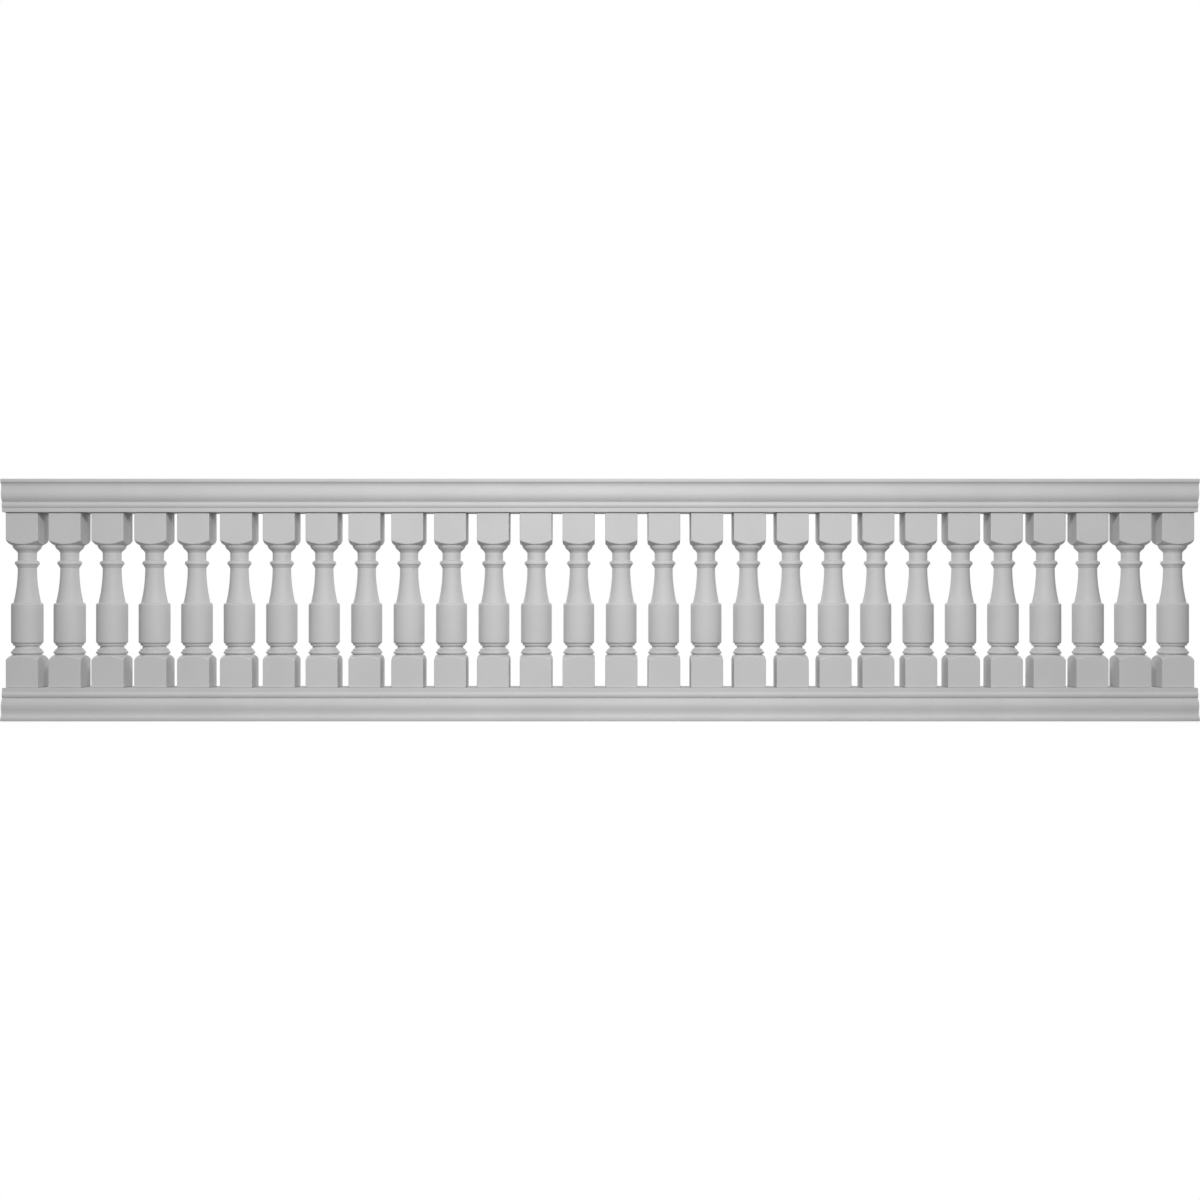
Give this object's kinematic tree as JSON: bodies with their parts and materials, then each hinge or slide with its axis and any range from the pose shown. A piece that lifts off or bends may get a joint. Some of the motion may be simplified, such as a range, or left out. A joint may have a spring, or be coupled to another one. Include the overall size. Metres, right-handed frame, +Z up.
{
  "type": "fiberglass balustrade",
  "caption": "Straight balustrade: a row of turned balusters with square blocks on core tubes between two matching moulded hollow rails.",
  "frame": {"origin": "under the middle of the run, on the underside of the bottom rail", "axes": "+X along the rails, +Y through their depth, +Z up"},
  "size_m": [4.8344, 0.194, 0.978],
  "materials": {
    "fiberglass": "satin primed gelcoat",
    "tube_steel": "drawn steel tube"
  },
  "bodies": {
    "root": {"baluster_01": "fiberglass", "baluster_02": "fiberglass", "baluster_03": "fiberglass", "baluster_04": "fiberglass", "baluster_05": "fiberglass", "baluster_06": "fiberglass", "baluster_07": "fiberglass", "baluster_08": "fiberglass", "baluster_09": "fiberglass", "baluster_10": "fiberglass", "baluster_11": "fiberglass", "baluster_12": "fiberglass", "baluster_13": "fiberglass", "baluster_14": "fiberglass", "baluster_15": "fiberglass", "baluster_16": "fiberglass", "baluster_17": "fiberglass", "baluster_18": "fiberglass", "baluster_19": "fiberglass", "baluster_20": "fiberglass", "baluster_21": "fiberglass", "baluster_22": "fiberglass", "baluster_23": "fiberglass", "baluster_24": "fiberglass", "baluster_25": "fiberglass", "baluster_26": "fiberglass", "baluster_27": "fiberglass", "baluster_28": "fiberglass", "core_tubes": "tube_steel", "bottom_rail": "fiberglass", "top_rail": "fiberglass"}
  },
  "joints": []
}
